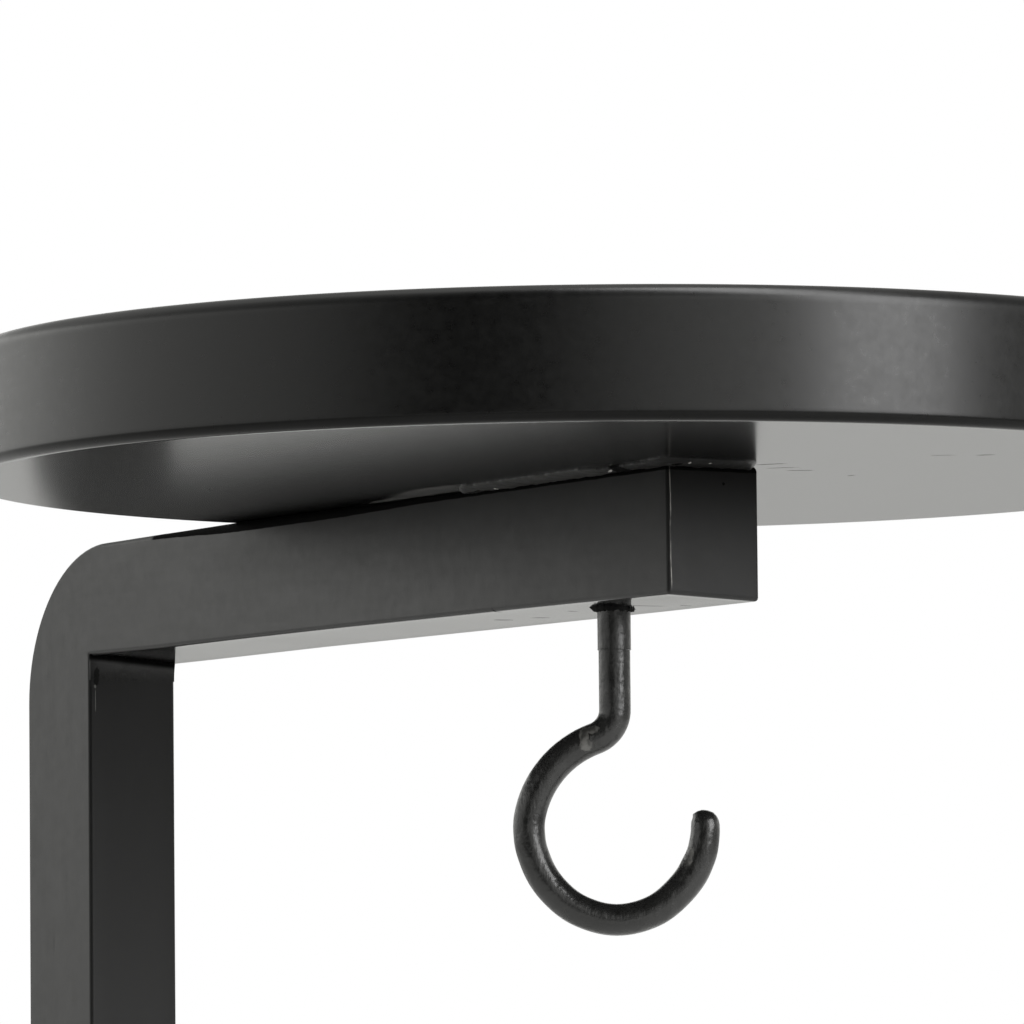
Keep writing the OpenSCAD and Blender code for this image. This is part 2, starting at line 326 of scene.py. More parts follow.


# The lower rim has its sheen taken off in a thin band, a painted shade, and the
# underside's lacquer has fine cracks beside the arm's end, and specks
shelf_lacquer = lacquer("shelf lacquer", 0.0025, 0.30, (900, 130, 900), 0.4, 0.12, 0.0, 0.2, 0.0001)
tree = shelf_lacquer.node_tree
up = xyz(tree, place_of(tree))["Z"]
lower_rim_shade = band_node(tree, up, 0.0716, 0.0720, 0.62, 0.0)
lower_rim_shade = math_node(tree, "MULTIPLY", lower_rim_shade, band_node(tree, up, 0.07002, 0.07008))
turn_dull(tree, marks(tree, [
    ((10.5, -250.3, 70), 33, (0.5, 3.4, 1)),
    ((17, -244.6, 70), 43, (0.4, 3.2, 1)),
    ((23.5, -241.3, 70), 62, (0.45, 3.0, 1)),
    ((29, -281.2, 70), 50, (0.3, 2.6, 1)),
    ((35.6, -285.3, 70), 40, (0.5, 2.0, 1)),
    ((39, -236.5, 70), 20, (0.35, 1.0, 1)),
    ((-80, -165.2, 70), 30, (0.5, 0.8, 1)),
    ((-55.5, -151.7, 70), 10, (0.5, 0.8, 1)),
    ((-67, -233.3, 70), 40, (0.4, 0.9, 1)),
]), lower_rim_shade)

# Beside the arm, two ragged ovals of the underside are painted grey
grey_beside_arm = marks(tree, [
    ((-13, -168, 70), -11, (6.5, 18, 1)),
    ((-9.5, -147, 70), -10, (3.4, 15, 1)),
])
wear_through(tree, grey_beside_arm, (0.135, 0.135, 0.13))

start_piece()
bpy.ops.mesh.primitive_cylinder_add(
    vertices=288, radius=shelf_r, depth=shelf_top - shelf_under,
    location=(0, shelf_y, (shelf_top + shelf_under) / 2),
)
shelf = take_place()
for rim_z, rim_r in ((shelf_top, top_rim_r), (shelf_under, under_rim_r)):
    pick(shelf, "EDGE", lambda e: all(abs(v.co.z - rim_z) < 1e-6 for v in e.verts))
    bpy.ops.mesh.bevel(offset=rim_r, segments=8, profile=0.5, affect="EDGES")
pick(shelf, "FACE", lambda f: abs(f.normal.z) < 0.05)
bpy.ops.mesh.inset(thickness=0.0005, use_even_offset=True)
pick(shelf, "FACE", lambda f: abs(f.normal.z) > 0.99 and len(f.verts) > 4)
bpy.ops.mesh.inset(thickness=0.0005)
bpy.ops.mesh.inset(thickness=0.004)
finish_piece(shelf, "shelf", shelf_lacquer, ["shelf_disc"])


# Bracket
# One L of two wooden bars, 21 mm wide and 25 or 26 mm deep, mitred and dowelled
# at the corner, which is then sawn and sanded round. Its black lacquer is like
# the shelf's.
bar_half = 0.0105
arm_top = 0.070
arm_under = 0.045
arm_end = -0.246
leg_front = -0.0262
leg_foot = -0.255
corner_r = 0.033
outer_round = 0.002
inner_round = 0.0008
leg_round = 0.0005

arm_lacquer = lacquer("arm lacquer", 0.0025, 0.43, (420, 60, 420), 0.35, 0.45, 0.4, 0.25, 0.0001, -0.33)
leg_lacquer = lacquer("leg lacquer", 0.0025, 0.43, (420, 420, 60), 0.35, 0.45, 0.4, 0.25, 0.0001, -0.28)

# Along the seam under the shelf the arm's top edges are painted dull black, a
# painted shade of the gap and the rounded edges there, along a line that wanders a little
tree = arm_lacquer.node_tree
at = xyz(tree, place_of(tree))
edge_noise = noise_node(tree, place_of(tree), 260, 3)
shade_wobble = math_node(tree, "MULTIPLY_ADD", edge_noise, 0.0003, -0.00015)
shade_line = band_node(tree, at["Y"], -0.090, -0.050, 0.0679, 0.0687)
shade_line = math_node(tree, "ADD", shade_line, band_node(tree, at["Y"], -0.17, -0.12, 0.0006, 0.0))
above_line = math_node(tree, "SUBTRACT", math_node(tree, "ADD", at["Z"], shade_wobble), shade_line)
before_wall = band_node(tree, at["Y"], -0.0535, -0.0515, 1.0, 0.0)
seam_shade = math_node(tree, "MULTIPLY", band_node(tree, above_line, -0.0001, 0.0001), before_wall)
from_middle = math_node(tree, "MULTIPLY_ADD", shade_wobble, 3.0, math_node(tree, "ABSOLUTE", at["X"]))
at_edge = band_node(tree, from_middle, 0.0085, 0.0095)
at_edge = math_node(tree, "MAXIMUM", at_edge, band_node(tree, at["Y"], -0.09, -0.084, 1.0, 0.0))
seam_shade = math_node(tree, "MULTIPLY", seam_shade, at_edge)

# The underside has a few nicks and the end face has one. Under the shelf the
# sides' upper part has its sheen taken off, a painted shade where the shelf hangs over them
nicks = marks(tree, [
    ((-9.6, -184.4, 45.2), 57, (0.35, 1.2, 2)),
    ((0.1, -171.6, 44.8), 35, (0.45, 2.4, 2)),
    ((2.0, -182.2, 44.7), 30, (0.35, 2.2, 2)),
    ((-1.5, -198.9, 44.7), 50, (0.35, 1.1, 2)),
    ((0.8, -220.8, 44.6), 46, (0.35, 4.4, 2)),
    ((5.5, -228, 44.4), 60, (0.3, 1.2, 2)),
    ((2.4, -246, 66.2), 0, (0.32, 1, 0.32)),
])
upper_side_shade = math_node(tree, "POWER", band_node(tree, at["Z"], 0.044, 0.074), 1.5)
under_shelf = band_node(tree, at["Y"], -0.12, -0.06, 0.85, 0.0)
upper_side_shade = math_node(tree, "MULTIPLY", upper_side_shade, under_shelf)
turn_dull(tree, math_node(tree, "MAXIMUM", seam_shade, nicks), upper_side_shade)

# Along the end face's near edge a thin wandering line is painted light grey: worn
# paint there, and a painted highlight on the rounded edge
wander = noise_node(tree, place_of(tree), 95, 2)
rub_line = math_node(tree, "MULTIPLY_ADD", wander, 0.0009, -0.01033)
rub_line = math_node(tree, "ABSOLUTE", math_node(tree, "SUBTRACT", at["X"], rub_line))
rubbed = band_node(tree, rub_line, 0.00005, 0.00014, 1.0, 0.0)
for share in (
    band_node(tree, at["Y"], -0.2455, -0.2452, 1.0, 0.0),
    band_node(tree, edge_noise, 0.36, 0.6, 0.15, 1.0),
    band_node(tree, at["Z"], 0.0455, 0.0475),
    band_node(tree, at["Z"], 0.052, 0.066, 1.0, 0.45),
):
    rubbed = math_node(tree, "MULTIPLY", rubbed, share)
wear_through(tree, rubbed, (0.34, 0.33, 0.31))

# On the leg's front the sheen is taken off, most of all near the arm: a painted
# shade under the arm, with a soft dark blob painted just below it. The front also
# carries a spot and a thin run of dried glue beside its near edge
tree = leg_lacquer.node_tree
at = xyz(tree, place_of(tree))
front_shade_below_arm = band_node(tree, at["Z"], -0.09, 0.035, 0.0, 0.45)
on_front = band_node(tree, at["Y"], -0.0261, -0.0256, 1.0, 0.0)
front_shade_below_arm = math_node(tree, "MULTIPLY", front_shade_below_arm, on_front)
leg_dark_blob = math_node(tree, "MULTIPLY", marks(tree, [((-8.8, -26.2, 40.9), 0, (0.8, 1, 1.3))]), 0.7)
turn_dull(tree, leg_dark_blob, front_shade_below_arm)
dried_glue = marks(tree, [
    ((-9.15, -26.2, 39.5), 0, (0.28, 1, 0.4)),
    ((-9.05, -26.1, 36.5), 0, (0.1, 1, 2.6)),
])
wear_through(tree, dried_glue, (0.09, 0.09, 0.085))


def cut_rings(axis, places):
    """In edit mode, cuts a ring of edges right round the piece at each place along the axis."""
    along = Vector([float(letter == axis) for letter in "XYZ"])
    for place in places:
        bpy.ops.mesh.select_all(action="SELECT")
        bpy.ops.mesh.bisect(plane_co=place * along, plane_no=along)


start_piece()
bpy.ops.mesh.primitive_cube_add(size=1)
bpy.ops.transform.resize(value=(2 * bar_half, -arm_end, arm_top - arm_under))
bpy.ops.transform.translate(value=(0, arm_end / 2, (arm_top + arm_under) / 2))
bracket = take_place()
cut_rings("Y", [leg_front])
pick(bracket, "FACE", lambda f: f.normal.z < -0.9 and f.calc_center_median().y > leg_front)
bpy.ops.mesh.extrude_region_move(TRANSFORM_OT_translate={"value": (0, 0, leg_foot - arm_under)})
bpy.ops.mesh.select_all(action="SELECT")
bpy.ops.mesh.dissolve_limited(angle_limit=0.01)
pick(bracket, "EDGE", lambda e: all(v.co.y > -1e-5 and v.co.z > arm_top - 1e-5 for v in e.verts))
bpy.ops.mesh.bevel(offset=corner_r, segments=24, profile=0.5, affect="EDGES")


def lengthwise(edge):
    return abs(edge.verts[0].co.x - edge.verts[1].co.x) < 1e-6


def on_outer_line(point):
    from_middle = math.hypot(point.y + corner_r, point.z - (arm_top - corner_r))
    in_corner = point.y > -corner_r - 1e-5 and point.z > arm_top - corner_r - 1e-5
    on_round = in_corner and from_middle > corner_r - 1e-4
    return on_round or point.z > arm_top - 1e-5 or point.y > -1e-5


def on_inner_line(edge):
    a, b = (v.co for v in edge.verts)
    if all(p.y < arm_end + 1e-5 for p in (a, b)) or all(p.z < leg_foot + 1e-5 for p in (a, b)):
        return True
    under = all(abs(p.z - arm_under) < 1e-5 and p.y < leg_front + 1e-5 for p in (a, b))
    front = all(abs(p.y - leg_front) < 1e-5 and p.z < arm_under + 1e-5 for p in (a, b))
    return (under or front) and lengthwise(edge)


# The arm's top edges are crisp at the wall, and sanded ever rounder from just
# before the shelf
sanded_from = -0.056
sanded_over = 0.032
first_round = 0.0011


def round_at(y):
    if y > sanded_from - 0.0005:
        return leg_round
    return first_round + (outer_round - first_round) * min(1, (sanded_from - y) / sanded_over)


# Each long edge is rounded by its own share of the widest round
cut_rings("Y", (sanded_from, -0.0575, -0.062, -0.067, -0.074, -0.081, -0.088))
mesh = bmesh.from_edit_mesh(bracket.data)
share = mesh.edges.layers.float.new("bevel_weight_edge")
for edge in mesh.edges:
    if lengthwise(edge) and all(on_outer_line(v.co) for v in edge.verts):
        on_top = all(v.co.z > arm_top - 1e-5 for v in edge.verts)
        edge_round = round_at(max(v.co.y for v in edge.verts)) if on_top else leg_round
        edge[share] = edge_round / outer_round
    elif on_inner_line(edge):
        edge[share] = inner_round / outer_round
bmesh.update_edit_mesh(bracket.data)
bpy.ops.object.mode_set(mode="OBJECT")
apply_modifier(
    bracket, "BEVEL",
    width=outer_round, segments=4, limit_method="WEIGHT", use_clamp_overlap=False,
)
bpy.ops.object.mode_set(mode="EDIT")

# Rings along both bars, so that the planed faces can be a little out of true
cut_rings("Y", [-0.0262 - 0.0072 * step for step in range(31)])
cut_rings("Z", [0.0648 - 0.0094 * step for step in range(34)])
cut_rings("X", (-0.006, -0.002, 0.002, 0.006))

# The underside of the arm was planed a little skew: its near edge rises and its
# far edge drops. Each line gives the distance out, the rise and the drop.
skew_fades_over = 0.004
skew = [
    (-0.026, 0.00125, 0.0002),
    (-0.050, 0.00095, 0.0003),
    (-0.090, 0.0008, 0.0004),
    (-0.125, 0.0007, 0.0006),
    (-0.160, 0.00045, 0.0008),
    (-0.190, 0.0003, 0.00095),
    (-0.215, 0.0001, 0.00105),
    (-0.246, -0.0003, 0.0011),
]


def skew_at(y):
    for (y0, up0, down0), (y1, up1, down1) in zip(skew, skew[1:]):
        if y >= y1:
            share = min(1, max(0, (y0 - y) / (y0 - y1)))
            return up0 + share * (up1 - up0), down0 + share * (down1 - down0)
    return skew[-1][1:]


mesh = bmesh.from_edit_mesh(bracket.data)
for vert in mesh.verts:
    past_corner = (vert.co.y - leg_front) / skew_fades_over
    if arm_under - 0.0008 < vert.co.z < arm_under + 0.0012 and past_corner < 1:
        rise, drop = skew_at(vert.co.y)
        across = (vert.co.x + bar_half) / (2 * bar_half)
        vert.co.z += (rise - across * (rise + drop)) * (1 - max(0, past_corner))

# Its top was planed a little low from the shelf's rear rim to the wall
low_from = -0.085
low_over = 0.05
low_by = 0.0005
for vert in mesh.verts:
    up_round = (vert.co.z - (arm_top - corner_r)) / corner_r
    if vert.co.y > low_from and up_round > 0:
        vert.co.z -= low_by * min(1, (vert.co.y - low_from) / low_over) * min(1, up_round)
bmesh.update_edit_mesh(bracket.data)
bpy.ops.object.mode_set(mode="OBJECT")


def take_up(piece):
    """Selects just this piece and makes it the active one."""
    start_piece()
    piece.select_set(True)
    bpy.context.view_layer.objects.active = piece


# Sawn apart along the mitre, each bar with its own cut face
arm = bracket
take_up(arm)
bpy.ops.object.duplicate()
leg = bpy.context.object
mitre_point = (0, leg_front, arm_under)
mitre_across = Vector((0, -(arm_top - arm_under), -leg_front)).normalized()
for bar, keep_upper in ((leg, False), (arm, True)):
    take_up(bar)
    bpy.ops.object.mode_set(mode="EDIT")
    bpy.ops.mesh.select_all(action="SELECT")
    bpy.ops.mesh.bisect(
        plane_co=mitre_point, plane_no=mitre_across,
        use_fill=True, clear_inner=keep_upper, clear_outer=not keep_upper,
    )
    bpy.ops.mesh.select_all(action="SELECT")
    bpy.ops.mesh.normals_make_consistent(inside=False)
    bpy.ops.object.mode_set(mode="OBJECT")


def cut_away(piece, cutter):
    """Takes the cutter's shape out of the piece and throws the cutter away."""
    if bpy.context.object.mode == "EDIT":
        bpy.ops.object.mode_set(mode="OBJECT")
    take_up(piece)
    apply_modifier(piece, "BOOLEAN", operation="DIFFERENCE", solver="EXACT", object=cutter)
    take_up(cutter)
    bpy.ops.object.delete()
    take_up(piece)


def drill(piece, place, radius, depth, along, sides=32):
    """A round hole from just in front of the place, square to the wall or to the floor."""
    ahead = 0.001
    bpy.ops.mesh.primitive_cylinder_add(vertices=sides, radius=radius, depth=depth + ahead)
    bit = take_place()
    bpy.ops.mesh.select_all(action="SELECT")
    if along == "Y":
        bpy.ops.transform.rotate(value=math.radians(90), orient_axis="X", center_override=(0, 0, 0))
        bpy.ops.transform.translate(value=(0, -(depth - ahead) / 2, 0))
    else:
        bpy.ops.transform.translate(value=(0, 0, (depth - ahead) / 2))
    bpy.ops.transform.translate(value=place)
    cut_away(piece, bit)


def new_block(size, middle):
    start_piece()
    bpy.ops.mesh.primitive_cube_add(size=1)
    block = take_place()
    bpy.ops.mesh.select_all(action="SELECT")
    bpy.ops.transform.resize(value=size)
    bpy.ops.transform.translate(value=middle)
    return block


def edge_depth(edge):
    return abs(edge.verts[0].co.y - edge.verts[1].co.y)


# The leg's back: two flush seats for the keyhole plates, a pocket behind each
# for the wall screw's head, and pilot holes for the plate's own two screws
plate_len = 0.0402
plate_wide = 0.0162
plate_thick = 0.0015
plate_corner = 0.0031
pocket_wide = 0.0115
pocket_deep = 0.0095
pocket_ahead = 0.001
pilot_r = 0.00155
pilot_deep = 0.013
pilot_pitch = 0.031
keyhole_heights = (0, -0.210)
slot_rise = 0.010
for height in keyhole_heights:
    plate_z = height - slot_rise / 2
    seat = new_block((plate_wide, 2 * plate_thick, plate_len), (0, 0, plate_z))
    pick(seat, "EDGE", lambda e: edge_depth(e) > plate_thick)
    bpy.ops.mesh.bevel(offset=plate_corner, segments=8, profile=0.5, affect="EDGES")
    cut_away(leg, seat)
    pocket_y = -pocket_deep / 2 - pocket_ahead / 2
    pocket = new_block((pocket_wide, pocket_deep, slot_rise + pocket_wide), (0, pocket_y, plate_z))
    pick(pocket, "FACE", lambda f: f.normal.y > 0.9)
    bpy.ops.transform.translate(value=(0, pocket_ahead, 0))
    pick(pocket, "EDGE", lambda e: edge_depth(e) > 0.001)
    bpy.ops.mesh.bevel(offset=pocket_wide / 2 - 0.00001, segments=12, profile=0.5, affect="EDGES")
    cut_away(leg, pocket)
    for step in (-0.5, 0.5):
        drill(leg, (0, 0, plate_z + step * pilot_pitch), pilot_r, pilot_deep, "Y", 24)

# The arm's underside: the hook's hole, broken out a little at its mouth
hook_out = -0.2113
hook_hole_r = 0.0033
hook_hole_deep = 0.018
drill(arm, (0, hook_out, arm_under), hook_hole_r, hook_hole_deep, "Z")
mouth_r = 0.0042
mouth_deep = 0.0009
mouth_high = 0.003
mouth_sides = 40
mouth_z = arm_under + mouth_deep - mouth_high / 2
bpy.ops.mesh.primitive_cylinder_add(
    vertices=mouth_sides, radius=mouth_r, depth=mouth_high, location=(0, hook_out, mouth_z)
)
mouth = take_place()
for step in range(mouth_sides):
    angle = 2 * math.pi * step / mouth_sides
    rag = 1 + 0.05 * math.sin(3 * angle + 1) + 0.06 * math.sin(7 * angle) + 0.05 * math.sin(13 * angle + 2)
    spot = Vector((mouth_r * math.cos(angle), mouth_r * math.sin(angle) + hook_out, 0))
    pick(mouth, "VERT", lambda v: (Vector((v.co.x, v.co.y, 0)) - spot).length < 1e-4)
    bpy.ops.transform.resize(value=(rag, rag, 1), center_override=(0, hook_out, arm_under))
cut_away(arm, mouth)

take_up(leg)
finish_piece(leg, "leg", leg_lacquer, ["bracket_leg"])
take_up(arm)
finish_piece(arm, "arm", arm_lacquer, ["bracket_arm"])


# Screw hook
# Steel wire 6 mm thick, bent to a loop, with a wood screw's thread that is
# turned into the arm. It was painted black in place, thickly and by brush.
wire_r = 0.00308
hook_place = Vector((0, hook_out, 0))
thread_r = 0.00325
thread_core = 0.00275
thread_in = 0.017
thread_point = 0.004
thread_out = 0.0087
thread_pitch = 0.002
thread_turns = 6
ring_long = 0.0003
hook_turn = math.radians(-33)
loop_r = 0.017
loop_swell = 0.0028
swell_angle = 170
swell_r = loop_r + loop_swell
loop_z = arm_under - 0.0439
bend_r = 0.006
swell_x = -loop_swell * math.cos(math.radians(swell_angle))
swell_z = loop_z - loop_swell * math.sin(math.radians(swell_angle))
bend_turn = math.degrees(math.acos((bend_r + swell_x) / (swell_r + bend_r)))
bend_z = swell_z + (swell_r + bend_r) * math.sin(math.radians(bend_turn))
tip_angle = math.radians(3.6)
tip_r = 0.0031

hook_paint = lacquer("hook paint", 0.014, 0.25, (500, 500, 140), 0.9, 0.9, 0.3, 0.7, 0.00028, 0)
tree = hook_paint.node_tree
tree.nodes["Principled BSDF"].inputs["IOR"].default_value = 1.6

# Two places, above the loop and on its inside near the tip, are worn or were
# missed by the brush
bare_spots = marks(tree, [
    ((-6.6, -210.3, 19.9), -33, (1.0, 2.2, 2.2)),
    ((-5.3, -211.2, 20.9), -33, (1.5, 2.2, 0.9)),
    ((-6.3, -210.5, 17.9), -33, (1.3, 2.2, 1.3)),
    ((10.1, -221.1, -4.2), -33, (0.9, 2.2, 1.6)),
    ((10.5, -221.4, -2.9), -33, (0.7, 2.2, 1.2)),
])
worn = band_node(tree, noise_node(tree, place_of(tree), 700, 3), 0.38, 0.6, 0.3, 1.0)
wear_through(tree, math_node(tree, "MULTIPLY", bare_spots, worn), (0.13, 0.127, 0.12))

start_piece()
bpy.ops.mesh.primitive_circle_add(
    vertices=32, radius=thread_core, fill_type="NGON",
    location=(0, 0, arm_under + thread_in - thread_point),
)
hook = take_place()


def draw_wire(down, scale=1.0):
    """Draws the wire's end further down and makes it that much thicker."""
    bpy.ops.mesh.extrude_region_move(TRANSFORM_OT_translate={"value": (0, 0, -down)})
    if scale != 1:
        bpy.ops.transform.resize(value=(scale, scale, 1), center_override=(0, 0, 0))


bpy.ops.mesh.select_all(action="SELECT")
for ridge in range(thread_turns):
    draw_wire(0.00025)
    draw_wire(0.0007, thread_r / thread_core)
    draw_wire(0.00015)
    draw_wire(0.0007, thread_core / thread_r)
    draw_wire(0.0002)
draw_wire(thread_in - thread_point - thread_turns * thread_pitch, thread_r / thread_core)
for step in range(12):
    draw_wire((thread_out - ring_long) / 12)

# A faint ring shows where the thread ends and the shank begins
draw_wire(0.00005, 1.012)
draw_wire(0.0001)
draw_wire(0.00003, 0.985)
draw_wire(0.00012, wire_r / (thread_r * 1.012 * 0.985))
shank = arm_under - thread_out - bend_z
for step in range(10):
    draw_wire(shank / 10)


def spin_wire(x, z, turn, steps):
    """Sweeps the wire's free end about a middle in the hook's plane, by so many degrees."""
    bpy.ops.mesh.spin(steps=steps, angle=math.radians(-turn), center=(x, 0, z), axis=(0, -1, 0))


spin_wire(-bend_r, bend_z, -bend_turn, 14)
spin_wire(swell_x, swell_z, swell_angle - 180 + bend_turn, 16)
spin_wire(0, loop_z, 360 + math.degrees(tip_angle) - swell_angle, 64)

# The tip is round, and is drawn in five steps
tip = Vector((loop_r * math.cos(tip_angle), 0, loop_z + loop_r * math.sin(tip_angle)))
tip_way = Vector((-math.sin(tip_angle), 0, math.cos(tip_angle)))
for step in range(1, 6):
    before, now = (math.radians(17 * count) for count in (step - 1, step))
    wide = math.cos(now) / math.cos(before)
    ahead = tip_r * (math.sin(now) - math.sin(before))
    bpy.ops.mesh.extrude_region_move(TRANSFORM_OT_translate={"value": ahead * tip_way})
    middle = tip + tip_r * math.sin(now) * tip_way
    bpy.ops.transform.resize(value=(wide, wide, wide), center_override=middle)
point_z = arm_under + thread_in - thread_point
pick(hook, "FACE", lambda f: f.normal.z > 0.9 and f.calc_center_median().z > point_z - 1e-5)
bpy.ops.mesh.extrude_region_move(TRANSFORM_OT_translate={"value": (0, 0, thread_point)})
bpy.ops.transform.resize(value=(0.08, 0.08, 1), center_override=(0, 0, 0))

# The loop was bent by hand and isn't quite round: how far each part of it lies
# outside (or inside) the true circle, in mm, going round from the bend to the tip
out_of_round = [
    (170, 0), (185, -0.2), (200, -0.42), (222, -0.42), (245, -0.22), (270, 0),
    (295, -0.08), (315, -0.3), (335, -0.15), (350, 0.12), (366, 0.32), (373, 0.32),
]
slimmer_from = 335
slimmer_over = 28
slimmer_by = 0.09
near_loop = 0.008
mesh = bmesh.from_edit_mesh(hook.data)
for vert in mesh.verts:
    bearing = math.degrees(math.atan2(vert.co.z - loop_z, vert.co.x))
    bearing += 360 if bearing < 12 else 0
    off_line = math.hypot(vert.co.x, vert.co.z - loop_z) - loop_r
    for (a0, out0), (a1, out1) in zip(out_of_round, out_of_round[1:]):
        if a0 <= bearing < a1 and abs(off_line) < near_loop:
            share = (bearing - a0) / (a1 - a0)
            share = share * share * (3 - 2 * share)
            out = (out0 + share * (out1 - out0)) / 1000
            outward = Vector((math.cos(math.radians(bearing)), 0, math.sin(math.radians(bearing))))
            # The wire grows slimmer toward its tip
            slimmer = slimmer_by * min(1, max(0, bearing - slimmer_from) / slimmer_over)
            vert.co += (out - slimmer * off_line) * outward
            vert.co.y *= 1 - slimmer
bpy.ops.mesh.select_all(action="SELECT")
bpy.ops.mesh.remove_doubles(threshold=0.00001)
bpy.ops.mesh.normals_make_consistent(inside=False)
bpy.ops.transform.rotate(value=-hook_turn, orient_axis="Z", center_override=(0, 0, 0))
bpy.ops.transform.translate(value=hook_place)
finish_piece(hook, "hook", hook_paint, ["screw_hook"], smooth=34, flats=False)


# Hook mouth
# Where the hook was turned in, black glue and torn wood fibre stand out of the
# hole in a ragged ring that clings to the hook. It is dull and almost hairy. Its
# lower edge, which runs down over the top of the hook, is a dark piece set in
# the shade there: partly glue, partly painted shade.
glue_and_shade_black = lacquer("torn fibre and glue", 0.002, 0.7, (700, 700, 700), 0.9, 0.9, 0.9, 0.9, 0.0003, 0)
glue_and_shade_black.node_tree.nodes["Principled BSDF"].inputs["Specular IOR Level"].default_value = 0.15
ring_r = 0.0036
ring_deep = 0.0020
start_piece()
bpy.ops.mesh.primitive_cylinder_add(
    vertices=64, radius=ring_r, depth=ring_deep, location=(0, hook_out, arm_under - 0.0001)
)
mouth_ring = take_place()
pick(mouth_ring, "FACE", lambda f: f.normal.z < -0.9)
bpy.ops.mesh.inset(thickness=0.0006)
bpy.ops.transform.translate(value=(0, 0, 0.0003))
cut_rings("Z", (arm_under - 0.0007, arm_under - 0.0003, arm_under + 0.0001))
to_left_end = Vector((-0.84, 0.54, 0))
mesh = bmesh.from_edit_mesh(mouth_ring.data)
for vert in mesh.verts:
    sideways = Vector((vert.co.x, vert.co.y - hook_out, 0))
    if sideways.length > 0.0034:
        way = sideways.normalized()
        rag = noise.noise(way * 2.4) + 0.7 * noise.noise(way * 9)
        lift = max(0, vert.co.z - arm_under + 0.0014) / 0.0014
        to_left = max(0, way.dot(to_left_end) - 0.97) / 0.03
        to_right = max(0, way.dot(-to_left_end) - 0.96) / 0.04
        out = 0.0006 * rag * lift + 0.0003 * lift + 0.0009 * to_left * lift + 0.0003 * to_right
        vert.co += way * out
        if vert.co.z < arm_under - 0.0006:
            vert.co.z += 0.00055 * noise.noise(way * 5 + Vector((3, 1, 2)))
bmesh.update_edit_mesh(mouth_ring.data)
finish_piece(mouth_ring, "hook_mouth", glue_and_shade_black, smooth=20, flats=False)


# Joint filler
# Black putty pressed by hand into the seam between arm and shelf, along the
# arm's near side and round its end. It is lumpy, ragged and chipped at its ends.
filler = lacquer("black filler", 0.004, 0.42, (500, 500, 500), 0.9, 0.9, 0.9, 1.0, 0.0005, 0)
tree = filler.node_tree

# Up to the gap near the arm's end it was rubbed, and is a little grey
rubbed = band_node(tree, xyz(tree, place_of(tree))["Y"], -0.2285, -0.2265)
wear_through(tree, rubbed, (0.034, 0.034, 0.033))
turn_dull(tree, marks(tree, [
    ((-12.6, -233, 69.4), 0, (2.6, 2.8, 2)),
    ((-11.2, -179.5, 69.4), 0, (0.9, 5.5, 2)),
    ((-10, -248.6, 69.4), 0, (1.2, 1.4, 2)),
]))
chips = marks(tree, [
    ((-14.6, -173.6, 69.6), 0, (0.9, 0.4, 1)),
    ((-11.3, -187, 69.3), 30, (1.0, 0.5, 1)),
    ((-12.6, -229.5, 69.3), -25, (0.35, 1.8, 1)),
    ((-11.6, -248.6, 69.5), 0, (0.6, 0.3, 1)),
    ((-8.4, -250.5, 69.6), 70, (0.9, 0.3, 1)),
    ((-4.0, -250.9, 69.5), 80, (0.5, 0.25, 1)),
])
wear_through(tree, chips, (0.45, 0.44, 0.42))

putty_start = -0.1725
putty_wide = 0.0070
putty_thick = 0.0011
putty_past_end = 0.0080
putty_end = arm_end - putty_past_end
start_piece()
bpy.ops.mesh.primitive_cube_add(size=1)
bpy.ops.transform.resize(value=(putty_wide, -(putty_end - putty_start), putty_thick))
putty_middle = (-0.0097 - putty_wide / 2, (putty_end + putty_start) / 2, arm_top - 0.0005)
bpy.ops.transform.translate(value=putty_middle)
putty = take_place()
cut_rings("Y", [arm_end + 0.0005])
pick(putty, "FACE", lambda f: f.normal.x > 0.9 and f.calc_center_median().y < arm_end)
bpy.ops.mesh.extrude_region_move(TRANSFORM_OT_translate={"value": (0.0195, 0, 0)})
cut_rings("Y", [putty_start - 0.0004 - 0.001 * step for step in range(80)])
cut_rings("X", [-0.0163 + 0.0008 * step for step in range(32)])
mesh = bmesh.from_edit_mesh(putty.data)
for vert in mesh.verts:
    beside = -bar_half - vert.co.x
    before = arm_end - vert.co.y
    out = max(beside, before)
    lump = noise.noise(vert.co * 420) + 0.5 * noise.noise(vert.co * 1100)
    ragged = noise.noise(Vector((vert.co.x, vert.co.y, 0)) * 300)
    if vert.co.z < arm_top - 0.0005:
        ends = min(1, (putty_start - vert.co.y) / 0.0012, (0.0099 - vert.co.x) / 0.0012)
        to_rim = max(0, out) / putty_wide
        bead = 0.00082 * (1 - 0.85 * to_rim ** 2.5) + 0.00026 * lump * (1 - 0.6 * to_rim)
        vert.co.z = arm_top + 0.00002 - max(0, ends) * bead
    if out > 0.0002:
        past_gap = min(1, max(0, -0.2255 - vert.co.y) / 0.0015)
        short_of_end = min(1, max(0, vert.co.y - arm_end) / 0.0015)
        stretch = (1 - 0.45 * past_gap * short_of_end) * (1 + 0.16 * ragged)
        if beside > 0:
            vert.co.x = -bar_half - beside * stretch
            vert.co.y -= 1.55 * beside * max(0, min(1, (vert.co.y + 0.205) / 0.0325))
        if before > 0:
            vert.co.y = arm_end - before * stretch
            if vert.co.x > 0:
                vert.co.x *= 1 - 0.068 * before * 1000
bmesh.update_edit_mesh(putty.data)
finish_piece(putty, "joint_filler", filler, smooth=40, flats=False)


# Corner filler
# A little of the same putty was wiped into the inner corner of the bracket with
# a fingertip, so that it is hollow, and some was left on the leg.
wiped_filler = lacquer("wiped filler", 0.004, 0.42, (420, 420, 420), 0.9, 0.9, 0.6, 0.6, 0.0002, 0)
